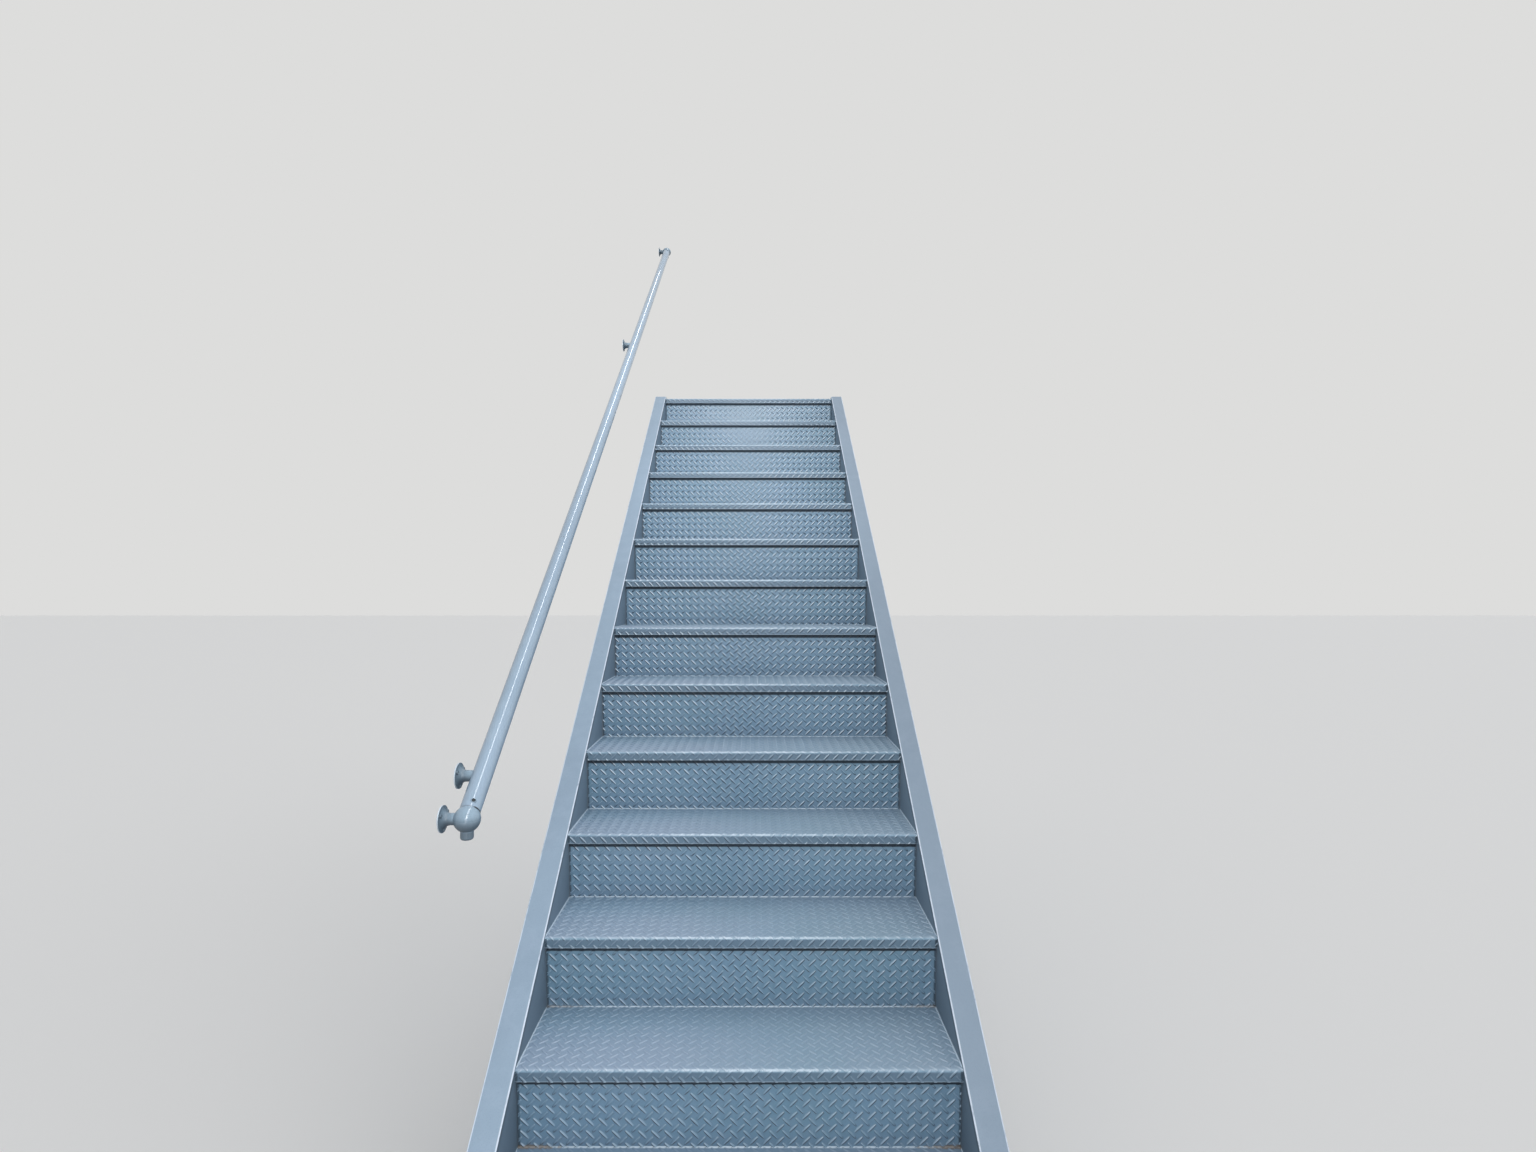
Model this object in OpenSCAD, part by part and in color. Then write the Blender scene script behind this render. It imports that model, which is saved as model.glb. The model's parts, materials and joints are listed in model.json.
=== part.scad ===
// Straight fire escape stair between two walls: bent checker plate treads and sloping plate
// risers between two channel stringers, with one wall handrail on the left.
// X runs across the stair, Y in the direction of climb, Z up from the ground.
// The origin is on the ground, in the middle of the turned foot of the first riser.

/* [Flight] */
// Clear width between the two stringer webs, which is also the length of every tread
clear_w = 1016; // [760:1:1300]
// Height of one step, from tread to tread
step_rise = 190.5; // [165:0.5:205]
// Depth of one step, from nosing to nosing
step_run = 254; // [225:1:300]
// Number of treads, the landing edge plate at the top included
step_count = 14; // [5:1:16]

/* [Treads and risers] */
// Thickness of the checker plate, its raised pattern left out
plate_t = 4.8; // [3:0.1:6.5]
// Height of the lip that is folded down along the front of each tread
lip_h = 28; // [22:1:40]
// Outer radius of the folds in the plates
bend_r = 8; // [7:0.5:10]
// How far the foot of each riser stands back from the nosing above it
riser_set = 22; // [14:1:34]
// Length of the flange that is turned under the tread at the foot of each riser
riser_foot = 30; // [22:1:40]
// Gap between each end of a riser and the web beside it
riser_gap = 1.5; // [0.5:0.1:4]
// Length of the foot of the first riser, which rests on the ground
first_foot = 50; // [40:1:80]

/* [Stringers] */
// Depth of the channel
stringer_d = 229; // [203:1:260]
// Width of the channel's flanges
flange_w = 63.1; // [55:0.1:72]
// Thickness of the channel's web
web_t = 7.2; // [5:0.1:9]
// Thickness of the flanges half way along
flange_t = 10.5; // [9.5:0.1:12]
// Root radius between web and flange
root_r = 9; // [6:0.5:11]
// Radius at the toe of the flange
toe_r = 3.5; // [2:0.5:4]
// Radius of the channel's outer corners, with their coats of paint
corner_r = 1.5; // [0.5:0.1:3]
// Height of the top flange over the line of the nosings
stringer_lift = 2; // [0:0.5:10]
// How far the stringers stand over the landing level at the top
landing_lip = 16; // [5:1:30]
// How far the stringers run past the last nosing
top_reach = 60; // [40:1:120]
// How far the stringers start before the first nosing
foot_reach = 18; // [0:1:40]

/* [Tread carriers] */
// Leg of the angles under the tread ends
carrier_leg = 38; // [25:1:50]
// Thickness of the angles
carrier_t = 5; // [4:0.5:7]

/* [Base and hanger] */
// Thickness of the base plates
base_t = 9.5; // [6:0.5:16]
// Width of the base plates
base_w = 74; // [70:1:90]
// Length of the base plates
base_l = 190; // [180:1:260]
// How far the base plates stand out in front of the stringers
base_front = 12; // [0:1:30]
// Distance from the front end of a stringer to the first anchor hole
anchor_front = 20; // [16:1:28]
// Distance between the two anchor holes of a base plate, which lie between the flanges
anchor_gap = 90; // [60:1:96]
// Radius of the anchor and hanger bolt holes
bolt_hole_r = 9; // [5:0.5:11]
// Thickness of the hanger plate at the landing
hanger_t = 9.5; // [6:0.5:16]
// Distance across the stair between the hanger bolts
hanger_gap_x = 800; // [500:1:900]
// Height between the hanger bolts
hanger_gap_z = 120; // [80:1:140]

/* [Handrail] */
// Outer diameter of the rail pipe
rail_d = 42.2; // [33:0.1:46]
// Wall thickness of the rail pipe
rail_wall = 3.6; // [2.5:0.1:5]
// Height of the pipe's centre line straight above the line of the nosings
rail_h = 796; // [750:1:950]
// Distance from the stringer toe to the wall
wall_gap = 15; // [5:1:40]
// Distance from the wall to the pipe's centre line
rail_off = 50; // [44:1:80]
// How far the lower end fitting stands behind the first nosing
rail_start = 33; // [-100:1:150]
// How far the upper end fitting stands past the last nosing
rail_past = 320; // [200:1:450]
// Diameter of the ball of the end fittings
ball_d = 53; // [50:0.5:60]
// How much wider than the pipe the seat in the ball is, all round
ball_step = 0.8; // [0:0.1:2]
// Diameter of the wall rosettes
rosette_d = 54; // [52:1:60]
// Thickness of the wall rosettes at their rim
rosette_t = 3; // [2:0.5:5]
// Radius of the neck between rosette and ball
neck_r = 12; // [10:0.5:13]
// Diameter of the circle of the screw holes in a rosette
screw_pcd = 42; // [40:1:43]
// Radius of the screw holes in a rosette
screw_r = 2.75; // [2:0.05:3]
// Radius of the flat face round each screw hole
spot_r = 4.8; // [4:0.1:5.5]
// Radius of the stub below the ball of an end fitting
stub_r = 13; // [11:0.5:15]
// How far the stub stands out below the ball
stub_out = 14; // [8:1:25]
// Radius of the rounded end of the stub
stub_round = 5; // [2:0.5:8]
// Distance from the lower end fitting to the first wall bracket
bracket_1 = 88; // [75:1:300]
// Distance from the lower end fitting to the second wall bracket
bracket_2 = 2178; // [600:1:2600]
// Distance from the centre of the ball to the set screw in the pipe
pilot_at = 31; // [28:1:50]

/* [Hidden] */
$fn = 96;
steel = [0.50, 0.55, 0.63];
steel_dark = [0.40, 0.44, 0.51];
steel_light = [0.60, 0.65, 0.73];
cast_grey = [0.55, 0.60, 0.66];
pitch = atan(step_rise / step_run);
slope = step_rise / step_run;
half_w = clear_w / 2;
toe_x = half_w + flange_w;
nose_1 = -first_foot / 2 - riser_set;
top_z = step_count * step_rise;
nose_top = nose_1 + (step_count - 1) * step_run;
string_back = nose_top + top_reach;
string_front = nose_1 - foot_reach;
string_drop = stringer_d / cos(pitch);
line_up = stringer_lift / cos(pitch);
bend_in = bend_r - plate_t;
bend_clear = 1;
riser_top = bend_r + bend_clear;
riser_fall = step_rise - plate_t;
riser_lean = atan((riser_set - riser_top) / riser_fall);
leg_t = plate_t / cos(riser_lean);
taper = 1 / 6;
taper_len = sqrt(1 + taper * taper);
root_t = flange_t + (flange_w - web_t) / 2 * taper;
wall_x = -toe_x - wall_gap;
rail_x = wall_x + rail_off;
rail_low = nose_1 + rail_start;
rail_high = nose_top + rail_past;
ball_r = ball_d / 2;
pipe_r = rail_d / 2;
seat_r = pipe_r + ball_step;
seat = sqrt(ball_r * ball_r - seat_r * seat_r);
flare_r = rosette_d / 2 - neck_r;
spot_z = rosette_t + 1;
pilot_r = 2.5;
pilot_turn = 24;
fit_gap = 0.3;
spigot_l = 40;
anchor_x = half_w + base_w / 2;
carrier_gap = 4;
cut_over = 1;
arc_steps = 6;

function nose_y(i) = nose_1 + (i - 1) * step_run;
function line_z(y) = step_rise + (y - nose_1) * slope;
function rail_z(y) = line_z(y) + rail_h;
function two(i) = i < 10 ? str("0", i) : str(i);
function tread_name(i) = str("tread_", two(i));
function riser_name(i) = str("riser_", two(i));

// Lays a profile drawn as (Y, Z) along X, centred on the stair
module across(width) {
    translate([-width / 2, 0, 0])
        rotate([90, 0, 90])
            linear_extrude(height = width)
                children();
}

// A quarter of a bent plate: outer radius bend_r, plate_t thick
module quarter_bend() {
    intersection() {
        difference() {
            circle(r = bend_r);
            circle(r = bend_in);
        }
        square(bend_r);
    }
}

// Tread plate in profile: the nosing stands at 0 and the top at 0
module tread_profile(depth) {
    translate([bend_r, -plate_t])
        square([depth - bend_r, plate_t]);
    translate([0, -lip_h])
        square([plate_t, lip_h - bend_r]);
    translate([bend_r, -bend_r])
        mirror([1, 0])
            quarter_bend();
}

module tread(i) {
    depth = i < step_count ? step_run + riser_set : top_reach + hanger_t;
    color(steel)
        translate([0, nose_y(i), i * step_rise])
            across(clear_w)
                tread_profile(depth);
}

// Sloping leg of a riser, from the underside of its tread down to the height low
module riser_leg(low) {
    back = riser_top + (-plate_t - low) * tan(riser_lean);
    polygon([
        [riser_top, -plate_t],
        [back, low],
        [back + leg_t, low],
        [riser_top + leg_t, -plate_t]
    ]);
}

// A riser between two treads: its foot is folded forward, under the back edge of the tread below
module riser_profile() {
    foot_z = -step_rise - 2 * plate_t;
    bend_z = foot_z + bend_r;
    bend_y = riser_top + (-plate_t - bend_z) * tan(riser_lean) + leg_t;
    riser_leg(bend_z);
    translate([bend_y - bend_r, bend_z])
        mirror([0, 1])
            quarter_bend();
    translate([riser_set - riser_foot, foot_z])
        square([bend_y - bend_r - riser_set + riser_foot, plate_t]);
}

// The first riser: its foot is folded back and rests on the ground
module first_riser_profile() {
    bend_z = -step_rise + bend_r;
    bend_y = riser_top + (-plate_t - bend_z) * tan(riser_lean);
    riser_leg(bend_z);
    translate([bend_y + bend_r, bend_z])
        rotate(180)
            quarter_bend();
    translate([bend_y + bend_r, -step_rise])
        square([riser_set + first_foot - bend_y - bend_r, plate_t]);
}

module riser(i) {
    color(steel)
        translate([0, nose_y(i), i * step_rise])
            across(clear_w - 2 * riser_gap) {
                if (i == 1) first_riser_profile();
                if (i > 1) riser_profile();
            }
}

// Points on an arc round (x, y), from one angle to another
function arc(x, y, r, from, to) = [
    for (k = [0 : arc_steps])
        let (turn = from + (to - from) * k / arc_steps)
            [x + r * cos(turn), y + r * sin(turn)]
];

// Upper half of a channel's outline: the back of the web at 0 and the top of the flange at 0
function half_channel() = let (
    tilt = atan(taper),
    root_x = web_t + root_r,
    root_y = -root_t + root_r * taper - root_r * taper_len,
    end_x = flange_w - toe_r,
    end_y = -root_t + (end_x - web_t) * taper + toe_r * taper_len
) concat(
    arc(corner_r, -corner_r, corner_r, 180, 90),
    arc(flange_w - corner_r, -corner_r, corner_r, 90, 0),
    arc(end_x, end_y, toe_r, 0, tilt - 90),
    arc(root_x, root_y, root_r, 90 + tilt, 180)
);

// Channel with tapered flanges, rounded at its root, its toes and its outer corners
module channel_profile() {
    upper = half_channel();
    lower = [
        for (k = [len(upper) - 1 : -1 : 0])
            [upper[k][0], -stringer_d - upper[k][1]]
    ];
    polygon(concat(upper, lower));
}

// Right stringer: cut level at the base plate and over the landing, plumb in front and behind
module stringer_solid() {
    spare = 2 * stringer_d;
    far = string_back + spare;
    intersection() {
        translate([half_w, far, line_z(far) + line_up])
            rotate([90 + pitch, 0, 0])
                linear_extrude(height = (far - string_front + spare) / cos(pitch))
                    channel_profile();
        translate([half_w - cut_over, string_front, base_t])
            cube([
                flange_w + 2 * cut_over,
                string_back - string_front,
                top_z + landing_lip - base_t
            ]);
    }
}

module right_stringer() {
    color(steel_light)
        stringer_solid();
}

module left_stringer() {
    color(steel_light)
        mirror([1, 0, 0])
            stringer_solid();
}

// Angles under the right ends of the treads, against the web
module carrier_row() {
    start = riser_set + 2 * carrier_gap;
    length = step_run + riser_set - riser_foot - start - carrier_gap;
    for (i = [1 : step_count - 1])
        translate([half_w, nose_y(i) + start, i * step_rise - plate_t])
            rotate([90, 0, 180])
                linear_extrude(height = length)
                    polygon([
                        [0, 0],
                        [carrier_leg, 0],
                        [carrier_leg, -carrier_t],
                        [carrier_t, -carrier_t],
                        [carrier_t, -carrier_leg],
                        [0, -carrier_leg]
                    ]);
}

module right_carriers() {
    color(steel_dark)
        carrier_row();
}

module left_carriers() {
    color(steel_dark)
        mirror([1, 0, 0])
            carrier_row();
}

// Plate under the right stringer, with two anchor holes between the flanges
module base_solid() {
    difference() {
        translate([half_w, string_front - base_front, 0])
            cube([base_w, base_l, base_t]);
        for (k = [0, 1])
            translate([anchor_x, string_front + anchor_front + k * anchor_gap, -cut_over])
                cylinder(r = bolt_hole_r, h = base_t + 2 * cut_over);
    }
}

module right_base_plate() {
    color(steel_dark)
        base_solid();
}

module left_base_plate() {
    color(steel_dark)
        mirror([1, 0, 0])
            base_solid();
}

// Plate across the ends of the stringers, bolted to the edge of the landing
module hanger_plate() {
    low = line_z(string_back) + line_up - string_drop;
    high = top_z - plate_t;
    color(steel_dark)
        difference() {
            translate([-toe_x, string_back, low])
                cube([2 * toe_x, hanger_t, high - low]);
            for (sx = [-1, 1])
                for (sz = [-1, 1])
                    translate([
                        sx * hanger_gap_x / 2,
                        string_back - cut_over,
                        (low + high) / 2 + sz * hanger_gap_z / 2
                    ])
                        rotate([-90, 0, 0])
                            cylinder(r = bolt_hole_r, h = hanger_t + 2 * cut_over);
        }
}

// Puts what follows on the rail's centre line at y, with its Z along the rail
module on_rail(y) {
    translate([rail_x, y, rail_z(y)])
        rotate([pitch - 90, 0, 0])
            children();
}

module handrail_pipe() {
    length = (rail_high - rail_low) / cos(pitch) - 2 * seat;
    color(steel_light)
        on_rail(rail_low)
            difference() {
                translate([0, 0, seat])
                    cylinder(r = pipe_r, h = length);
                translate([0, 0, seat - cut_over])
                    cylinder(r = pipe_r - rail_wall, h = length + 2 * cut_over);
                translate([0, 0, pilot_at])
                    rotate([90, 0, pilot_turn])
                        cylinder(r = pilot_r, h = pipe_r + cut_over);
                translate([0, 0, length + 2 * seat - pilot_at])
                    rotate([90, 0, pilot_turn])
                        cylinder(r = pilot_r, h = pipe_r + cut_over);
            }
}

// Profile of a rosette and its neck: radius along X, distance from the wall along Y
module rosette_profile(reach) {
    square([rosette_d / 2, rosette_t]);
    square([neck_r, reach]);
    difference() {
        square([rosette_d / 2, rosette_t + flare_r]);
        translate([rosette_d / 2, rosette_t + flare_r])
            circle(r = flare_r);
    }
}

// Bell-shaped casting from the wall to the distance reach, with three screw holes
module rosette(y, reach) {
    translate([wall_x, y, rail_z(y)])
        rotate([0, 90, 0])
            difference() {
                rotate_extrude()
                    rosette_profile(reach);
                for (k = [0 : 2])
                    rotate([0, 0, 120 * k])
                        translate([screw_pcd / 2, 0, 0]) {
                            translate([0, 0, -cut_over])
                                cylinder(r = screw_r, h = rosette_d);
                            translate([0, 0, spot_z])
                                cylinder(r = spot_r, h = rosette_d);
                        }
            }
}

// Stub that stands straight down from the centre of the ball, with a rounded end
module stub(length) {
    rotate([180, 0, 0])
        rotate_extrude() {
            square([stub_r - stub_round, length]);
            square([stub_r, length - stub_round]);
            intersection() {
                translate([stub_r - stub_round, length - stub_round])
                    circle(r = stub_round);
                square([stub_r, length]);
            }
        }
}

// Ball with a seat for the pipe, a spigot in the pipe, a neck to the wall and a stub below.
// turn is 1 at the lower end and -1 at the upper end
module rail_end(y, turn) {
    color(cast_grey) {
        difference() {
            union() {
                rosette(y, rail_off - ball_r / 2);
                translate([rail_x, y, rail_z(y)])
                    sphere(r = ball_r);
                translate([rail_x, y, rail_z(y)])
                    stub(ball_r + stub_out);
            }
            on_rail(y)
                rotate([turn > 0 ? 0 : 180, 0, 0])
                    translate([0, 0, seat])
                        cylinder(r = seat_r + fit_gap, h = 4 * ball_r);
        }
        on_rail(y)
            rotate([turn > 0 ? 0 : 180, 0, 0])
                cylinder(r = pipe_r - rail_wall - fit_gap, h = seat + spigot_l);
    }
}

module lower_rail_end() {
    rail_end(rail_low, 1);
}

module upper_rail_end() {
    rail_end(rail_high, -1);
}

// Wall bracket: a rosette whose neck is shaped to the back of the pipe
module rail_bracket(y) {
    color(cast_grey)
        difference() {
            rosette(y, rail_off);
            on_rail(y)
                translate([0, 0, -rosette_d])
                    cylinder(r = pipe_r, h = 2 * rosette_d);
        }
}

module lower_rail_bracket() {
    rail_bracket(rail_low + bracket_1);
}

module upper_rail_bracket() {
    rail_bracket(rail_low + bracket_2);
}

for (i = [1 : step_count])
    tread(i);
for (i = [1 : step_count])
    riser(i);
left_stringer();
right_stringer();
left_carriers();
right_carriers();
left_base_plate();
right_base_plate();
hanger_plate();
handrail_pipe();
lower_rail_end();
upper_rail_end();
lower_rail_bracket();
upper_rail_bracket();
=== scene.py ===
# %% [markdown]
# # A painted steel fire escape stair
# The solids of the stair come ready made: treads, risers, channels, pipe and castings. This script
# gives them their finish and adds what is too fine for them: the raised pattern of the checker
# plate, the welds, the bolts and the screws. It starts by loading the frame that all pieces share:
# X across the stair, Y in the direction of climb, Z up, in metres.

# %% Load the frame
import json
import math
import random
from collections import namedtuple

import bmesh
import bpy
from mathutils import Matrix, Vector

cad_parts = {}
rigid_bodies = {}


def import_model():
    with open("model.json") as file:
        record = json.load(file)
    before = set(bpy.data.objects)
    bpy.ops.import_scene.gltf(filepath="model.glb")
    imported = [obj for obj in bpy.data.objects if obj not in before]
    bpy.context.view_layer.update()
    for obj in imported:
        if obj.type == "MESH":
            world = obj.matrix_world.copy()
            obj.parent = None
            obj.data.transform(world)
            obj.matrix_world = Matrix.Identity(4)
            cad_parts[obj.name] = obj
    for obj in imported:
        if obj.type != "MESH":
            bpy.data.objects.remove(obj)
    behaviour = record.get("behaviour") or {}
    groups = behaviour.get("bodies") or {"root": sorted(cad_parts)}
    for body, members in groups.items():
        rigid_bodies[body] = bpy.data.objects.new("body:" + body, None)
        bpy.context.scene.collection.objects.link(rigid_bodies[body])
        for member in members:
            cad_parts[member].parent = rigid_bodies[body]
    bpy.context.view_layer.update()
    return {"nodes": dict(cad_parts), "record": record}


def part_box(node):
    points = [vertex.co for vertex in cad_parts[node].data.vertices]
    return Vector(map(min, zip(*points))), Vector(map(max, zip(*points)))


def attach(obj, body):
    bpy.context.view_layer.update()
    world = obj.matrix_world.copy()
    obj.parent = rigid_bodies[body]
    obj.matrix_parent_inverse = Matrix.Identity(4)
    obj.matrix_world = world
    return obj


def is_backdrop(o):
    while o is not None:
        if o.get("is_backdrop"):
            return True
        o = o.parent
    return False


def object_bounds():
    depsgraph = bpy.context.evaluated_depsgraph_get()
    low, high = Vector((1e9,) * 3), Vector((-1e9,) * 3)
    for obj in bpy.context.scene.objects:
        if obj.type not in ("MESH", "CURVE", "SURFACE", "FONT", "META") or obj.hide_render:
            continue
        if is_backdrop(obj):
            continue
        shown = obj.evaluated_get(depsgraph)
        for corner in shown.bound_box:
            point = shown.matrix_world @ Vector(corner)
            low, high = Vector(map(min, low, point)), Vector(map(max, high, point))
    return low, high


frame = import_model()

MM = 0.001
MOUNTS = {mount["name"]: mount for mount in frame["record"]["mounts"]}

# %% [markdown]
# ## The camera
# The photograph was taken with a wide lens from the foot of the stair, held level, so upright
# lines stay upright. A level camera with a small lens shift does the same. The focal length comes
# from things of known size in the picture: 790 pixels in a frame 1536 pixels wide. Lines that run
# level and straight away from the camera meet at the vanishing point, and the shift puts it there.

# %% Camera
FRAME_W, FRAME_H = 1536, 1152
FOCAL_PX = 790
VANISH = (754, 597)
EYE = Vector((33.5 * MM, -1582 * MM, 1452 * MM))
SENSOR = 36  # Blender takes the lens in mm, for a sensor of this width

camera = bpy.data.objects.new("camera", bpy.data.cameras.new("camera"))
bpy.context.collection.objects.link(camera)
bpy.context.scene.camera = camera
camera.location = EYE
camera.rotation_euler = (math.radians(90), 0, 0)
camera.data.sensor_width = SENSOR
camera.data.lens = SENSOR * FOCAL_PX / FRAME_W
camera.data.shift_x = (FRAME_W / 2 - VANISH[0]) / FRAME_W
camera.data.shift_y = (VANISH[1] - FRAME_H / 2) / FRAME_W
camera.data.clip_start = 0.05
camera.data.clip_end = 200
print("lens:", round(camera.data.lens, 2), "mm")
print("shift:", round(camera.data.shift_x, 4), round(camera.data.shift_y, 4))


# %% [markdown]
# ## Two helpers for nodes
# Colours are picked as sRGB hex values, the way a paint card gives them, and a shader wants linear
# light, so one function turns one into the other. The second adds a node to a tree, sets it up and
# links it. Most nodes here are arithmetic, and the settings that are used often have names.

# %% Helpers for nodes
def linear(hex_colour):
    """An sRGB hex colour as linear RGBA."""
    parts = [int(hex_colour[i:i + 2], 16) / 255 for i in (1, 3, 5)]
    return (*[p / 12.92 if p <= 0.04045 else ((p + 0.055) / 1.055) ** 2.4 for p in parts], 1)


def add(tree, kind, feeds=(), out=0, **settings):
    """Adds a node and returns one output, or all when out is None. feeds go in by order or by name."""
    made = tree.nodes.new("ShaderNode" + kind)
    for key, value in settings.items():
        setattr(made, key, value)
    for key, value in feeds.items() if isinstance(feeds, dict) else enumerate(feeds):
        if isinstance(value, bpy.types.NodeSocket):
            tree.links.new(value, made.inputs[key])
        else:
            made.inputs[key].default_value = value
    return made.outputs if out is None else made.outputs[out]


# A MapRange with FADE is 0 at its first bound and 1 at its second, whichever is larger.
# Two more numbers after the bounds take the place of 0 and 1.
FADE = {"interpolation_type": "SMOOTHSTEP"}
MINUS = {"operation": "SUBTRACT"}
TIMES = {"operation": "MULTIPLY"}
TIMES_PLUS = {"operation": "MULTIPLY_ADD"}
LARGER = {"operation": "MAXIMUM"}
UNSIGNED = {"operation": "ABSOLUTE"}

# %% [markdown]
# ## The sizes of a step
# All steps of a flight are alike, so the first tread and the first riser give the sizes that the
# wear and the raised pattern follow. They are read off the boxes of the solids, so what is added
# here fits on them.

# %% Sizes of a step
tread_low, tread_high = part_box("tread_01")
riser_low, riser_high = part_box("riser_01")
STEPS = sum(name.startswith("tread_") for name in frame["nodes"])
FIRST_NOSE = tread_low.y
RISE = tread_high.z
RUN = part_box("tread_02")[0].y - FIRST_NOSE
CLIMB = Vector((0, RUN, RISE)).normalized()
OVER = Vector((0, -CLIMB.z, CLIMB.y))
HALF_WIDTH = tread_high.x
LIP = tread_high.z - tread_low.z
DEPTH = tread_high.y - tread_low.y
SETBACK = DEPTH - RUN
PLATE = RISE - riser_high.z
RISER_TOP = riser_low.y - FIRST_NOSE
RISER_HALF = riser_high.x
print("steps:", STEPS, "rise:", round(RISE, 4), "run:", round(RUN, 4), "plate:", round(PLATE, 4))


# %% [markdown]
# ## Where a point lies on the flight
# Wear follows the steps, so each finish first works out the place of a point on its own step:
# which step it is, how far behind the nosing, how far above or below the tread, and how far from
# the middle of the flight. The way the surface faces goes with it, and so does the value called
# lift, which the pieces added below carry: -1 at the foot of a lug to 1 on its ridge, 2 on beads of
# sealant, -3 in the sockets of screws. All of it is collected once, under plain names. Painting by
# hand on unwrapped faces would do too, but a rule treats all steps alike and needs no pictures.

# %% Place on the flight
Spot = namedtuple("Spot", "place x z step side depth height on_top face_x face_y face_z lift")


def find_spot(tree):
    """What the coats ask about a point. side, depth and height are metres from the nearest nosing."""
    place = add(tree, "TexCoord", out="Object")
    x, y, z = add(tree, "SeparateXYZ", (place,), None)
    step = add(tree, "Math", (add(tree, "Math", (z, 1 / RISE), **TIMES),), operation="ROUND")
    height = add(tree, "Math", (step, -RISE, z), **TIMES_PLUS)
    nose = add(tree, "Math", (step, RUN, FIRST_NOSE - RUN), **TIMES_PLUS)
    depth = add(tree, "Math", (y, nose), **MINUS)
    side = add(tree, "Math", (x,), **UNSIGNED)
    on_top = add(tree, "MapRange", (height, -4 * MM, -0.5 * MM), **FADE)
    facing = add(tree, "SeparateXYZ", (add(tree, "NewGeometry", out="Normal"),), None)
    lift = add(tree, "Attribute", out="Fac", attribute_name="lift")
    return Spot(place, x, z, step, side, depth, height, on_top, *facing, lift)


# %% [markdown]
# ## Coats of wear, painted light and painted shade
# A finish here is a base colour with a list of coats, one over the other. Each coat has a function,
# which returns a list of factors and a roughness. The product of the factors says how much of the
# coat lies at a point, from 0 to 1. The list of the finish adds the colour and the amount.
#
# The stair has one blue-grey alkyd gloss paint, brushed and rolled over hot rolled steel. Such a
# film is a dielectric (IOR about 1.5), so metallic stays 0. It goes chalky and pale where feet and
# weather reach it. Some coats are painted light and shade: darker and bluer where shade falls, paler
# where light catches an edge. The first coats lie anywhere.

# %% Coats for every finish
def drift(tree, at):
    """Slow drifts of colour, over about 0.4 m."""
    slow = add(tree, "TexNoise", {"Vector": at.place, "Scale": 1 / (400 * MM), "Detail": 2})
    return [add(tree, "MapRange", (slow, 0.35, 0.68), **FADE)], 0.34


def mottle(tree, at):
    """Cloudy chalking, in patches of 60 mm and less."""
    cloud = add(tree, "TexNoise", {
        "Vector": at.place, "Scale": 1 / (60 * MM), "Detail": 6, "Roughness": 0.68})
    return [add(tree, "MapRange", (cloud, 0.42, 0.74), **FADE)], 0.42


def grain(tree, at):
    """Fine grit in the film. Real grit is under 1 mm, and it is drawn at 2.5 mm so that it shows."""
    fine = add(tree, "TexNoise", {"Vector": at.place, "Scale": 1 / (2.5 * MM), "Detail": 2})
    return [add(tree, "MapRange", (fine, 0.50, 0.68), **FADE)], 0.4


def chips(often):
    """Chips of 1 to 4 mm down to the primer, at most one in a cell of 60 mm. often is the share of cells."""
    def coat(tree, at):
        distance, cell = add(tree, "TexVoronoi", {"Vector": at.place, "Scale": 1 / (60 * MM)}, None)[:2]
        # Distances are in cells here
        ragged = add(tree, "TexNoise", {"Vector": at.place, "Scale": 1 / (3 * MM), "Detail": 3})
        jag = add(tree, "Math", (ragged, 0.05, distance), **TIMES_PLUS)
        size = add(tree, "SeparateColor", (cell,), 1)
        reach = add(tree, "Math", (size, 0.030, 0.032), **TIMES_PLUS)
        inside = add(tree, "Math", (reach, jag), **MINUS)
        inside = add(tree, "Math", (inside, 140), use_clamp=True, **TIMES)
        chosen = add(tree, "Math", (add(tree, "SeparateColor", (cell,)), often), operation="LESS_THAN")
        return [inside, chosen], 0.8
    return coat


# %% [markdown]
# ## From coats to a finish
# The coats are mixed one over the other, colour and roughness together. The film itself is never
# flat: a roller leaves a stipple and a brush its marks, and below them lie the waves of rolled steel
# or the grain of a sand casting. Both go into bump nodes, with heights in metres.

# %% Gloss paint
MATERIALS = {}


def paint_material(slot_name, name, base, gloss, stipple, waves, coats):
    """Gloss paint for one slot. stipple and waves are (size, height) pairs, coats (coat, colour, amount)."""
    material = bpy.data.materials.new(name)
    material.use_nodes = True
    tree = material.node_tree
    tree.nodes.clear()
    at = find_spot(tree)
    colour, rough = linear(base), gloss
    # A Mix node takes its factor at input 0, numbers at 2 and 3 and colours at 6 and 7
    for coat, coat_colour, amount in coats:
        (share, *others), coat_rough = coat(tree, at)
        for factor in (*others, amount):
            share = add(tree, "Math", (share, factor), **TIMES)
        colour = add(tree, "Mix", {0: share, 6: colour, 7: linear(coat_colour)}, 2, data_type="RGBA")
        if coat_rough is not None:
            rough = add(tree, "Mix", {0: share, 2: rough, 3: coat_rough})
    normal = None
    for size, height in (waves, stipple):
        lumps = add(tree, "TexNoise", {"Vector": at.place, "Scale": 1 / size, "Detail": 3})
        feeds = {"Distance": height, "Height": lumps}
        if normal:
            feeds["Normal"] = normal
        normal = add(tree, "Bump", feeds)
    shader = add(tree, "BsdfPrincipled", {
        "Base Color": colour, "Roughness": rough, "IOR": 1.5, "Metallic": 0.0, "Normal": normal})
    add(tree, "OutputMaterial", {"Surface": shader}, None)
    MATERIALS[slot_name] = material
    print("material:", name, "with", len(coats), "coats,", len(tree.nodes), "nodes")
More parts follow.
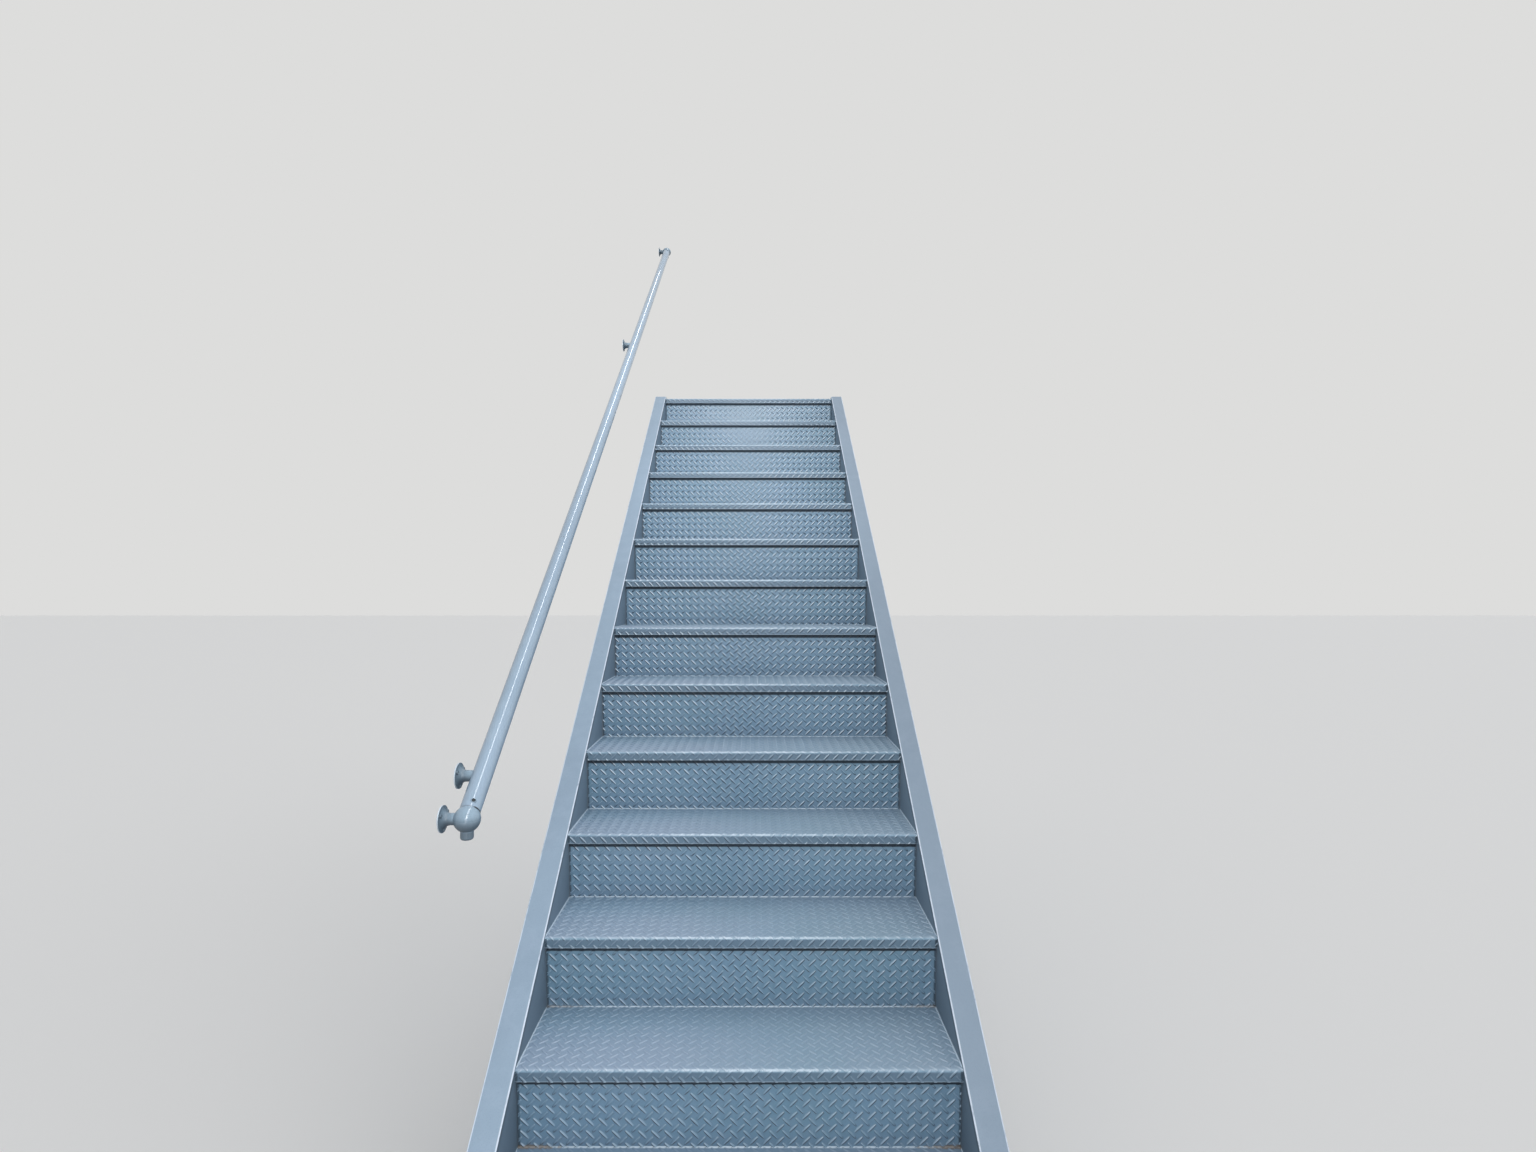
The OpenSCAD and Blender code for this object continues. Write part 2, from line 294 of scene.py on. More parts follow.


# %% [markdown]
# ## Wear, painted light and painted shade on the steps
# Feet, brooms and rain wear every step in the same places. The front of a tread is walked pale, and
# its back is darker with painted shade and dirt. The fold gets a painted highlight over its wear,
# while the lip below it gets painted shade. Under the lip the riser is painted almost black, as
# painted shadow in the slot behind it, and so are its two ends.

# %% Coats for the top of a tread
# Most people walk this far from the middle, with a hand on the rail
TRACK = -350 * MM


def walked(tree, at):
    """The front of each tread is walked pale, most on the side of the handrail."""
    front = add(tree, "MapRange", (at.depth, 260 * MM, 60 * MM), **FADE)
    off_track = add(tree, "Math", (at.x, TRACK), **MINUS)
    off_track = add(tree, "Math", (off_track,), **UNSIGNED)
    track = add(tree, "MapRange", (off_track, 550 * MM, 120 * MM), **FADE)
    return [front, track, at.on_top], 0.38


def tread_dust(tree, at):
    """Grey dust lies on the treads, more on the side away from the handrail."""
    away = add(tree, "MapRange", (at.x, -400 * MM, 350 * MM, 0.35, 1))
    lying = add(tree, "MapRange", (at.face_z, 0.3, 0.7))
    return [at.on_top, away, lying], 0.5


def back_edge_shade_and_dirt(tree, at):
    """The back of each tread, in front of the riser, is darker: painted shade in the corner, with dirt."""
    back = add(tree, "MapRange", (at.depth, DEPTH - 110 * MM, DEPTH), **FADE)
    low = add(tree, "MapRange", (at.height, 50 * MM, 5 * MM), **FADE)
    return [back, at.on_top, low], 0.6


# %% Coats for the fold, the lip and what lies below it
def fold_highlight_and_wear(tree, at):
    """A painted highlight on the fold of the nosing, with rubbed wear: a thin broken line that fades towards
    the ends.
    """
    under = add(tree, "MapRange", (at.height, -5.0 * MM, -3.4 * MM), **FADE)
    ahead = add(tree, "MapRange", (at.depth, 5.0 * MM, 3.4 * MM), **FADE)
    ragged = add(tree, "TexNoise", {
        "Vector": at.place, "Scale": 1 / (16 * MM), "Detail": 5, "Roughness": 0.7})
    broken = add(tree, "MapRange", (ragged, 0.38, 0.54), **FADE)
    middle = add(tree, "MapRange", (at.side, 450 * MM, 120 * MM, 0.3, 1), **FADE)
    return [under, ahead, broken, middle], 0.36


def lip_painted_shade(tree, at):
    """The upright face of a lip is dull and darker, as painted shade."""
    ahead = add(tree, "MapRange", (at.depth, 5.5 * MM, 3.5 * MM), **FADE)
    below = add(tree, "MapRange", (at.height, -4.5 * MM, -7.5 * MM), **FADE)
    return [ahead, below], 0.45


def lip_edge_highlight(tree, at):
    """A painted highlight on the sheared lower edge of the lip, where the paint also drew thin."""
    low = add(tree, "MapRange", (at.height, 2.8 * MM - LIP, 1.2 * MM - LIP), **FADE)
    ahead = add(tree, "MapRange", (at.depth, 7 * MM, 5 * MM), **FADE)
    return [low, ahead], 0.5


def shadow_below_lip(tree, at):
    """Painted shadow on the riser in the slot behind a lip, and painted shade along the riser's two ends."""
    slit = add(tree, "MapRange", (at.height, -LIP - 13 * MM, -LIP - 11 * MM), **FADE)
    slit = add(tree, "Math", (slit, add(tree, "MapRange", (at.height, -10 * MM, -14 * MM), **FADE)), **TIMES)
    slit = add(tree, "Math", (slit, add(tree, "MapRange", (at.depth, 6.5 * MM, 8.5 * MM), **FADE)), **TIMES)
    end = add(tree, "MapRange", (at.side, RISER_HALF - 6 * MM, RISER_HALF - 3 * MM), **FADE)
    end = add(tree, "Math", (end, add(tree, "MapRange", (at.face_y, -0.8, -0.95), **FADE)), **TIMES)
    end = add(tree, "Math", (end, 0.75), **TIMES)
    return [add(tree, "Math", (slit, end), **LARGER)], 0.8


# %% Rust in the corners
# Stains spread along a joint, so distances along it count this much
ALONG_JOINT = 0.06


def corner_rust(tree, at):
    """Thin brown stains along the joint at a riser's foot, near the corners of the lowest steps."""
    along = add(tree, "Math", (at.side, -ALONG_JOINT, ALONG_JOINT * HALF_WIDTH), **TIMES_PLUS)
    behind = add(tree, "Math", (DEPTH, at.depth), **MINUS)
    corner = add(tree, "CombineXYZ", (along, behind, at.height))
    gap = add(tree, "VectorMath", (corner,), "Value", operation="LENGTH")
    ragged = add(tree, "TexNoise", {
        "Vector": at.place, "Scale": 1 / (10 * MM), "Detail": 6, "Roughness": 0.75})
    gap = add(tree, "Math", (ragged, -14 * MM, gap), **TIMES_PLUS)
    near = add(tree, "MapRange", (gap, 0.5 * MM, -3.5 * MM), **FADE)
    lowest = add(tree, "MapRange", (at.step, 2.9, 1.2), **FADE)
    return [near, lowest], 0.8


# %% [markdown]
# ## Painted light, painted shade and wear on the raised pattern
# From the foot of the stair one sees the lugs of the two directions differently: strongly on the
# side of the flight where their lit flank shows, hardly on the other. The flanks that face up and
# towards the middle get a painted highlight, those that face away painted shade, and the foot of
# each lug a ring of painted shade with dirt.

# %% Coats for the lugs and beads
def lug_foot_shade_and_dirt(tree, at):
    """A dark ring round the foot of each lug: painted shade in the crease, with dirt."""
    return [add(tree, "MapRange", (at.lift, 0.05, -0.35), **FADE)], 0.7


def lug_wear(tree, at):
    """The tops of the lugs are rubbed a little paler."""
    return [add(tree, "MapRange", (at.lift, 0.3, 0.8), **FADE)], 0.42


def lug_flank_light_shade(lit_side, first):
    """Painted highlight on the lug flanks that face the light when the first argument is 1, painted shade on
    the others when it is -1.
    """
    # The amount is first on the lowest steps and grows to 1 further up
    flank = (0.35, 0.65) if lit_side > 0 else (0.15, 0.42)

    def coat(tree, at):
        raised = add(tree, "Math", (at.lift,), **UNSIGNED)
        raised = add(tree, "MapRange", (raised, 0.0, 0.1), **FADE)
        # On a riser the flanks that face up get the painted highlight, on a tread those that face the front
        tilt = add(tree, "Math", (at.face_y, at.face_z), operation="ADD")
        lying = add(tree, "MapRange", (tilt, -0.1, 0.1), **FADE)
        forward = add(tree, "Math", (at.face_y, -1), **TIMES)
        facing = add(tree, "Mix", {0: lying, 2: at.face_z, 3: forward})
        # and of those most the ones that face the middle of the flight
        half = add(tree, "MapRange", (at.x, -250 * MM, 250 * MM, -0.8, 0.8))
        outwards = add(tree, "Math", (at.face_x, half), **TIMES)
        facing = add(tree, "Math", (facing, outwards), **MINUS)
        # Higher up the flanks are drawn wider, or they would be too fine to show
        wider = add(tree, "MapRange", (at.step, 5, 9, 0, 0.2))
        facing = add(tree, "Math", (facing, lit_side, wider), **TIMES_PLUS)
        share = add(tree, "MapRange", (facing, *flank), **FADE)
        # On the treads the painted light and shade stays weak
        upward = add(tree, "MapRange", (at.step, 2, 6.5, first, 1), **FADE)
        return [share, raised, add(tree, "Mix", {0: lying, 2: upward, 3: 0.2})], 0.4
    return coat


def bead_gloss(tree, at):
    """Beads of sealant hold a thick, pale film."""
    return [add(tree, "MapRange", (at.lift, 1.2, 1.8), **FADE)], 0.35


# %% [markdown]
# ## Checker plate
# Alkyd gloss, put on with a roller and walked on for years. It gives the eye a satin blue-grey with
# pale fronts, joints darkened with painted shade and a painted line of highlight or shade on each lug.

# %% Finish of the checker plate
ROLLER, SHEET_WAVES = (3 * MM, 0.10 * MM), (35 * MM, 0.5 * MM)
paint_material("painted_plate", "alkyd_gloss_on_checker_plate", "#7796ad", 0.28, ROLLER, SHEET_WAVES, [
    (drift, "#7092a6", 0.70),
    (mottle, "#8aa0b3", 0.35),
    (walked, "#8c9bb1", 0.60),
    (tread_dust, "#888c93", 0.35),
    # Painted shade and dirt along the back of each tread
    (back_edge_shade_and_dirt, "#6f879d", 0.50),
    # Painted shade on the upright face of each lip
    (lip_painted_shade, "#556a7c", 0.70),
    (grain, "#6c8197", 0.22),
    # Painted shade on one flank of each lug, painted highlight on the other
    (lug_flank_light_shade(-1, 0.90), "#1a2a37", 1),
    (lug_flank_light_shade(1, 0.22), "#cddde9", 1),
    # Painted shade and dirt round the foot of each lug
    (lug_foot_shade_and_dirt, "#4a6076", 0.35),
    (lug_wear, "#a9b9ca", 0.18),
    # Painted shadow behind each lip and painted shade along the riser ends
    (shadow_below_lip, "#17212b", 0.90),
    (bead_gloss, "#b4c5d2", 0.85),
    # Painted highlights on the lower edge of each lip and on its fold
    (lip_edge_highlight, "#a5b7c8", 0.45),
    (fold_highlight_and_wear, "#c3d3e0", 0.65),
    (corner_rust, "#7a6a58", 0.75),
    (chips(0.05), "#5d6268", 1)])

# %% [markdown]
# ## Channels and flat bar
# The flanges of the channels lie open to the sky and are the palest part of the flight. The webs
# stand upright between the steps, dull and darker with painted shade and dust. The same gloss covers
# the angles and plates below and behind the flight, which nobody walks on or wipes: they stay satin.

# %% Coats for the channels
FLANGE_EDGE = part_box("right_stringer")[1].x
FLANGE_TOP = max(OVER.dot(v.co) for v in frame["nodes"]["right_stringer"].data.vertices)


def upright_web(tree, at):
    """1 on the upright webs of the channels, 0 on their flanges."""
    across = add(tree, "Math", (at.face_x,), **UNSIGNED)
    return add(tree, "MapRange", (across, 0.6, 0.9), **FADE)


def web_shade_and_dust(tree, at):
    """The upright webs are dull and darker: painted shade between the steps, with dust."""
    return [upright_web(tree, at)], 0.62


def low_web(tree, at):
    """The webs get darker towards the foot of the stair."""
    return [add(tree, "MapRange", (at.z, 750 * MM, 150 * MM), **FADE), upright_web(tree, at)], 0.62


def edge_shade(tree, at):
    """A line of painted shade on the web, right below the edge of the upper flange."""
    reach = add(tree, "VectorMath", (at.place, OVER), "Value", operation="DOT_PRODUCT")
    near = add(tree, "MapRange", (reach, FLANGE_TOP - 20 * MM, FLANGE_TOP - 10 * MM), **FADE)
    below = add(tree, "MapRange", (reach, FLANGE_TOP - 0.8 * MM, FLANGE_TOP - 1.6 * MM), **FADE)
    return [near, below, upright_web(tree, at)], 0.6


def flange_edge_highlights(tree, at):
    """A painted highlight along the two rounded edges of a flange, on faces that look up, where the paint
    also lies thin.
    """
    inner = add(tree, "MapRange", (at.side, HALF_WIDTH + 4.4 * MM, HALF_WIDTH + 2.6 * MM), **FADE)
    outer = add(tree, "MapRange", (at.side, FLANGE_EDGE - 3.6 * MM, FLANGE_EDGE - 2.0 * MM), **FADE)
    line = add(tree, "Math", (inner, outer), **LARGER)
    upward = add(tree, "MapRange", (at.face_z, 0.2, 0.5), **FADE)
    ragged = add(tree, "TexNoise", {
        "Vector": at.place, "Scale": 1 / (50 * MM), "Detail": 4, "Roughness": 0.7})
    return [line, upward, add(tree, "MapRange", (ragged, 0.25, 0.48), **FADE)], 0.4


def right_channel_darker(tree, at):
    """The channel on the right, away from the handrail, is darker."""
    return [add(tree, "MapRange", (at.x, -100 * MM, 100 * MM))], 0.5


# %% Finish of the channels, the angles and the flat bar
BRUSH, ROLLED_WAVES = (5 * MM, 0.12 * MM), (40 * MM, 0.4 * MM)
paint_material("painted_channel", "alkyd_gloss_on_rolled_channel", "#899eb1", 0.34, BRUSH, ROLLED_WAVES, [
    (drift, "#8296a9", 0.70),
    (mottle, "#9aacc0", 0.30),
    (grain, "#73859c", 0.20),
    # Darker on the right channel
    (right_channel_darker, "#747f8c", 0.35),
    # Painted shade and dust on the upright webs
    (web_shade_and_dust, "#6c8091", 0.88),
    (low_web, "#4a5a68", 0.40),
    (edge_shade, "#2c3945", 0.35),
    # Painted highlights along the flange edges
    (flange_edge_highlights, "#d6e1ee", 0.75),
    (corner_rust, "#7a6a58", 0.55),
    (chips(0.14), "#5d6064", 1)])
paint_material("painted_bracket", "alkyd_gloss_on_flat_bar", "#73879d", 0.45, BRUSH, ROLLED_WAVES, [
    (drift, "#64788c", 0.70),
    (mottle, "#8496a9", 0.45),
    (grain, "#566a7e", 0.25),
    (chips(0.20), "#5a5550", 1)])

# %% [markdown]
# ## The handrail
# The same gloss lies on drawn steel tube and, at its ends, on rough sand castings. Hands keep both
# smooth, so one sharp line of light runs along the tube and ends in a spot on the ball. Their
# roughness is low and the bump slight. The castings get painted shade underneath and in the bells
# of the wall plates, and a painted highlight on the rims; a dark line marks the joint round each ball.

# %% Sizes of the rail
pipe_low, pipe_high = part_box("handrail_pipe")
PIPE_R = (pipe_high.x - pipe_low.x) / 2
RAIL_X = (pipe_high.x + pipe_low.x) / 2
PLATE_BACK = MOUNTS["lower_end_screws"]["pos_m"][0]
LOW_BALL = Vector((RAIL_X, *MOUNTS["lower_end_screws"]["pos_m"][1:]))
HIGH_BALL = Vector((RAIL_X, *MOUNTS["upper_end_screws"]["pos_m"][1:]))
SEAM_AT = 17 * MM  # from the middle of a ball to the joint
print("tube radius:", round(PIPE_R, 4), "balls:", LOW_BALL, HIGH_BALL)


# %% Coats for the rail
def gripped(coat):
    """Where hands keep the film smooth, a coat changes its colour and leaves its roughness."""
    return lambda tree, at: (coat(tree, at)[0], None)


def underside_shade(tree, at):
    """Painted shade, with some dirt, on the undersides of the castings and on the stubs under the balls."""
    share = add(tree, "MapRange", (at.face_z, 0.45, -0.65), **FADE)
    for ball in (LOW_BALL, HIGH_BALL):
        away = add(tree, "VectorMath", (at.place, ball), **MINUS)
        y, z = add(tree, "SeparateXYZ", (away,), None)[1:]
        off_axis = add(tree, "Math", (y,), **UNSIGNED)
        near = add(tree, "MapRange", (off_axis, 30 * MM, 22 * MM), **FADE)
        stub = add(tree, "Math", (near, add(tree, "MapRange", (z, -20 * MM, -27 * MM), **FADE)), **TIMES)
        share = add(tree, "Math", (share, add(tree, "Math", (stub, 0.8), **TIMES)), **LARGER)
    return [share], 0.6


def dull_shaded_bell(tree, at):
    """The hollow bell of a wall plate is dull and darker, as painted shade, but not its rim."""
    near = add(tree, "MapRange", (at.x, PLATE_BACK + 26 * MM, PLATE_BACK + 12 * MM), **FADE)
    off_rim = add(tree, "MapRange", (at.x, PLATE_BACK + 1.5 * MM, PLATE_BACK + 3 * MM), **FADE)
    return [near, off_rim], 0.6


def rim_highlight(tree, at):
    """A painted highlight on the rim of a wall plate."""
    return [add(tree, "MapRange", (at.x, PLATE_BACK + 3 * MM, PLATE_BACK + 1.8 * MM), **FADE)], 0.4


def seam(tree, at):
    """The joint between the pipe and the balls: a thin dark line, open on the side of the stair."""
    turned_out = add(tree, "MapRange", (at.x, RAIL_X + 10 * MM, RAIL_X + 16 * MM), **FADE)
    half = add(tree, "Math", (turned_out, 1.0 * MM, 0.8 * MM), **TIMES_PLUS)
    share = 0.0
    for ball, way in ((LOW_BALL, CLIMB), (HIGH_BALL, -CLIMB)):
        along = add(tree, "VectorMath", (at.place, way), "Value", operation="DOT_PRODUCT")
        off = add(tree, "Math", (along, way.dot(ball) + SEAM_AT), **MINUS)
        off = add(tree, "Math", (add(tree, "Math", (off,), **UNSIGNED), half), **MINUS)
        line = add(tree, "MapRange", (off, 0.6 * MM, -0.2 * MM), **FADE)
        share = add(tree, "Math", (share, line), **LARGER)
    return [share, add(tree, "Math", (turned_out, 0.5, 0.5), **TIMES_PLUS)], 0.8


def socket_shadow(tree, at):
    """Painted shadow in the shallow socket of a set screw."""
    return [add(tree, "MapRange", (at.lift, -2.2, -2.8), **FADE)], 0.8


# %% Finish of the tube and its castings
SMOOTHED, TUBE_WAVES = (4 * MM, 0.012 * MM), (60 * MM, 0.03 * MM)
paint_material("painted_pipe", "alkyd_gloss_on_steel_tube", "#7f91a2", 0.08, SMOOTHED, TUBE_WAVES, [
    (gripped(drift), "#798b9b", 0.60),
    (gripped(mottle), "#92a2b0", 0.30),
    (gripped(grain), "#778797", 0.15),
    (seam, "#0e151b", 0.90),
    (chips(0.08), "#66696c", 1)])
RUBBED, SAND_GRAIN = (5 * MM, 0.04 * MM), (12 * MM, 0.2 * MM)
paint_material("painted_casting", "alkyd_gloss_on_sand_casting", "#788c9c", 0.14, RUBBED, SAND_GRAIN, [
    (gripped(drift), "#72868f", 0.60),
    (gripped(mottle), "#8c9daa", 0.45),
    (gripped(grain), "#6a7d8a", 0.35),
    # Painted shade in the bells of the wall plates
    (dull_shaded_bell, "#4b5c69", 0.65),
    # Painted shade under the castings and on the stubs
    (underside_shade, "#34424e", 0.80),
    # Painted highlight on the rims of the wall plates
    (rim_highlight, "#cfd9e2", 0.60),
    (seam, "#0e151b", 0.90),
    # Painted shadow in the sockets of the set screws
    (socket_shadow, "#0b1014", 0.95),
    (chips(0.16), "#5c5d5e", 1)])

# %% [markdown]
# ## Dressing the solids
# Every solid keeps its shape and only gets its finish, chosen by the material slot that the
# frame's record gives for it.

# %% Materials on the solids
for row in frame["record"]["subparts"]:
    node = frame["nodes"][row["node"]]
    node.data.materials.clear()
    node.data.materials.append(MATERIALS[row["material_slot"]])


# %% [markdown]
# ## Making a piece
# Each added piece is a mesh in the shared frame that rides on the stair's one body and says which
# finish of the record it has. It is shaded smooth, but edges sharper than 35 degrees stay crisp.

# %% Make a piece
CREASE = math.radians(35)


def make_piece(name, shape, slot_name):
    """Turns a bmesh into an object that belongs to the stair, and returns its count of triangles."""
    bmesh.ops.recalc_face_normals(shape, faces=shape.faces)
    mesh = bpy.data.meshes.new(name)
    shape.to_mesh(mesh)
    shape.free()
    mesh.shade_smooth()
    mesh.set_sharp_from_angle(angle=CREASE)
    mesh.materials.append(MATERIALS[slot_name])
    made = bpy.data.objects.new(name, mesh)
    bpy.context.collection.objects.link(made)
    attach(made, "root")
    return sum(len(face.vertices) - 2 for face in mesh.polygons)


# %% [markdown]
# ## The raised pattern
# Checker plate is rolled with short lugs that lie at 45 degrees, one way and the other in turn,
# so that each points at the side of its neighbour. Here lugs of one kind repeat every 30 mm both
# ways, each about 28 mm long, 8 mm wide and 2.5 mm high, or less where feet have worn it. A bump
# map would look flat along the nosing, so the lugs are real: steep sides up to a brow and a roof
# with a crisp ridge. They are laid out on the flat sheet first and cut at its edges, as shears
# would cut them.

# %% One lug
LUG_LENGTH = 28 * MM
LUG_WIDTH = 8 * MM
SUNK = 0.4 * MM  # how deep the foot of a lug stands in the plate
# Half the length and half the width of a lug count as 1 in its outline and along its ridge
OUTLINE = [(1, 0), (0.86, 0.68), (0, 1), (-0.86, 0.68), (-1, 0), (-0.86, -0.68), (0, -1), (0.86, -0.68)]
RIDGE, RIDGE_DROP = [-0.78, 0, 0.78], 0.1
# The brow where the roof starts, as shares of the outline's length and width and of the height
BROW_LENGTH, BROW_WIDTH, BROW_RISE = 0.95, 0.72, 0.5


def add_lug(sheet, x, s, turn, tall):
    """One lug on the flat sheet, at x across and s along it, turned by turn times 45 degrees."""
    c, k = math.cos(turn * math.pi / 4), math.sin(turn * math.pi / 4)
    lift = sheet.verts.layers.float["lift"]

    def point(a, b, h, value):
        a, b = a * LUG_LENGTH / 2, b * LUG_WIDTH / 2
        made = sheet.verts.new((x + a * c - b * k, s + a * k + b * c, h))
        made[lift] = value
        return made

    foot = [point(a, b, -SUNK, -1) for a, b in OUTLINE]
    brow = [point(a * BROW_LENGTH, b * BROW_WIDTH, BROW_RISE * tall, 0.2) for a, b in OUTLINE]
    top = [point(a, 0, (1 - RIDGE_DROP * abs(a)) * tall, 1) for a in RIDGE]
    for i in range(len(OUTLINE)):
        j = (i + 1) % len(OUTLINE)
        sheet.faces.new((foot[i], foot[j], brow[j], brow[i]))
    sheet.faces.new(foot[::-1])
    # The roof has three-cornered faces at its tips and four-cornered ones along the ridge
    for a, b, r in ((0, 1, 2), (3, 4, 0), (4, 5, 0), (7, 0, 2)):
        sheet.faces.new((brow[a], brow[b], top[r]))
    for a, b, r, q in ((1, 2, 1, 2), (2, 3, 0, 1), (5, 6, 1, 0), (6, 7, 2, 1)):
        sheet.faces.new((brow[a], brow[b], top[r], top[q]))


# %% A flat sheet of lugs
LUG_PITCH = 30 * MM
# How far outside the sheet the middle of a lug may lie, because its end still reaches in
OUTSIDE = 7 * MM
NEAR = 1e-7  # points this close to a cut, in metres, count as on it


def score(sheet, at, outwards, clear=False):
    """Splits faces along a line, with clear also drops what lies beyond it, and returns the new edges."""
    everything = sheet.verts[:] + sheet.edges[:] + sheet.faces[:]
    cut = bmesh.ops.bisect_plane(
        sheet, geom=everything, plane_co=at, plane_no=outwards, clear_outer=clear, dist=NEAR)
    return [e for e in cut["geom_cut"] if isinstance(e, bmesh.types.BMEdge)]


def cut_sheet(sheet, at, outwards):
    """Cuts the lugs off beyond a line, and closes the cut ends."""
    bmesh.ops.edgeloop_fill(sheet, edges=score(sheet, at, outwards, True))


def lug_sheet(width, length, tall, dice):
    """A flat sheet of lugs, width across and length along it, cut at all four edges."""
    sheet = bmesh.new()
    sheet.verts.layers.float.new("lift")
    start_x, start_s = dice.uniform(0, LUG_PITCH), dice.uniform(0, LUG_PITCH)
    for row in range(-1, int(length / LUG_PITCH) + 3):
        for column in range(-1, int(width / LUG_PITCH) + 3):
            for shift, turn in ((0, 1), (LUG_PITCH / 2, -1)):
                x = -width / 2 + column * LUG_PITCH + start_x + shift
                s = row * LUG_PITCH + start_s + shift
                if abs(x) < width / 2 + OUTSIDE and -OUTSIDE < s < length + OUTSIDE:
                    add_lug(sheet, x, s, turn, tall)
    for side in (-1, 1):
        cut_sheet(sheet, (side * width / 2, 0, 0), (side, 0, 0))
    cut_sheet(sheet, (0, 0, 0), (0, -1, 0))
    cut_sheet(sheet, (0, length, 0), (0, 1, 0))
    return sheet


# %% [markdown]
# The sheet then follows the tread's profile: up the lip, round the fold and back over the top.
# Each point moves to its place on the profile and out along the normal there. A few extra cuts
# across the fold let the lugs bend instead of bridging it. The risers get flat sheets that lean
# back towards their foot.

# %% Wrap the sheets over treads and risers
LUG_HEIGHT, WORN_HEIGHT = 2.5 * MM, 1.6 * MM  # on the risers, and on the treads
BEND = 8 * MM  # outer radius of the fold, as the solids have it
FOLD_START = LIP - BEND
FOLD_END = FOLD_START + BEND * math.pi / 2
FOLD_CUTS = 4
RISER_PLAY = 1 * MM  # by so much the pattern is smaller than its riser
LEAN = math.atan((SETBACK - RISER_TOP) / (RISE - PLATE))


def over_tread(x, s, h):
    """Where a point of the flat sheet lies on a tread whose nosing is at y 0 and top at z 0."""
    if s < FOLD_START:
        return Vector((x, -h, s - LIP))
    if s < FOLD_END:
        turn = (s - FOLD_START) / BEND
        reach = BEND + h
        return Vector((x, BEND - reach * math.cos(turn), -BEND + reach * math.sin(turn)))
    return Vector((x, BEND + s - FOLD_END, h))


def up_riser(x, s, h):
    """Where a point of the flat sheet lies on a riser whose foot is at y 0 and z 0."""
    sine, cosine = math.sin(LEAN), math.cos(LEAN)
    return Vector((x, -s * sine - h * cosine, s * cosine - h * sine))


triangles = 0
for number in range(1, STEPS + 1):
    name = "tread_%02d" % number
    low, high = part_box(name)
    length = FOLD_END + high.y - low.y - BEND
    sheet = lug_sheet(2 * HALF_WIDTH, length, WORN_HEIGHT, random.Random(100 + number))
    for k in range(FOLD_CUTS + 1):
        score(sheet, (0, FOLD_START + (FOLD_END - FOLD_START) * k / FOLD_CUTS, 0), (0, 1, 0))
    nosing = Vector((0, low.y, high.z))
    for v in sheet.verts:
        v.co = nosing + over_tread(*v.co)
    triangles += make_piece("lugs_" + name, sheet, "painted_plate")

    length = (RISE - PLATE - RISER_PLAY) / math.cos(LEAN)
    sheet = lug_sheet(2 * RISER_HALF - RISER_PLAY, length, LUG_HEIGHT, random.Random(300 + number))
    foot = nosing + Vector((0, SETBACK, -RISE))
    for v in sheet.verts:
        v.co = foot + up_riser(*v.co)
    triangles += make_piece("lugs_riser_%02d" % number, sheet, "painted_plate")
print("lugs:", triangles, "triangles")


# %% [markdown]
# ## Welds and beads
# A weld or a bead of sealant fills the corner where two plates meet. Its section is a corner point
# and a rounded front; the size wanders a little along the way, and a weld also has the ripples
# that the welder's hand leaves. A curve with a bevel would be quicker, but its section never changes.
# Beads and, later, bolts are skinned over rings of points, so one function joins the rings.

# %% Skins and beads
BEAD_STEP = 4 * MM  # from one ring of a bead to the next
WANDER_STEPS = 6  # rings from one random size to the next
WANDER, HOLLOW = 0.12, 0.20  # how much the size wanders, and how much the front is hollowed
BEAD_SUNK = 0.3 * MM  # how deep the ends of its front lie in the plates; its corner is twice as deep
FRONT_POINTS = 5
STITCH, STITCH_RIPPLE = 4 * MM, 0.22
dice = random.Random(7)


def skin(shape, rings):
    """Joins rings of equally many points to a closed skin."""
    for here, there in zip(rings, rings[1:]):
        for a in range(len(here)):
            b = (a + 1) % len(here)
            shape.faces.new((here[a], here[b], there[b], there[a]))
    shape.faces.new(rings[0][::-1])
    shape.faces.new(rings[-1])


def bead(shape, start, end, one, other, size, ripple=0.0):
    """A bead from start to end, in a corner with plates that run off along one and other."""
    start, end, one, other = Vector(start), Vector(end), Vector(one), Vector(other)
    count = max(8, int((end - start).length / BEAD_STEP))
    wander = [dice.uniform(-1, 1) for _ in range(count // WANDER_STEPS + 3)]
    rings = []
    for i in range(count + 1):
        spot = i / WANDER_STEPS
        slow = wander[int(spot)] * (1 - spot % 1) + wander[int(spot) + 1] * (spot % 1)
        reach = size * (1 + WANDER * slow + ripple * (0.5 - i % 2))
        # Both ends taper to under half the size
        reach *= min(1, 0.45 + 0.3 * min(i, count - i))
        centre = start.lerp(end, i / count) - (one + other) * BEAD_SUNK
        ring = [centre - (one + other) * BEAD_SUNK]
        for k in range(FRONT_POINTS):
            turn = math.pi / 2 * k / (FRONT_POINTS - 1)
            front = reach * (1 - HOLLOW * math.sin(2 * turn)) + BEAD_SUNK
            ring.append(centre + (one * math.cos(turn) + other * math.sin(turn)) * front)
        rings.append([shape.verts.new(place) for place in ring])
    lift = shape.verts.layers.float.get("lift")
    if lift:
        for v in sum(rings, []):
            v[lift] = 2
    skin(shape, rings)


def stitches(shape, start, end, one, other, count, length):
    """Short ripple welds, spread evenly from start to end."""
    start, end = Vector(start), Vector(end)
    along = (end - start).normalized() * length / 2
    for k in range(count):
        middle = start.lerp(end, (k + 0.5) / count)
        bead(shape, middle - along, middle + along, one, other, STITCH, STITCH_RIPPLE)


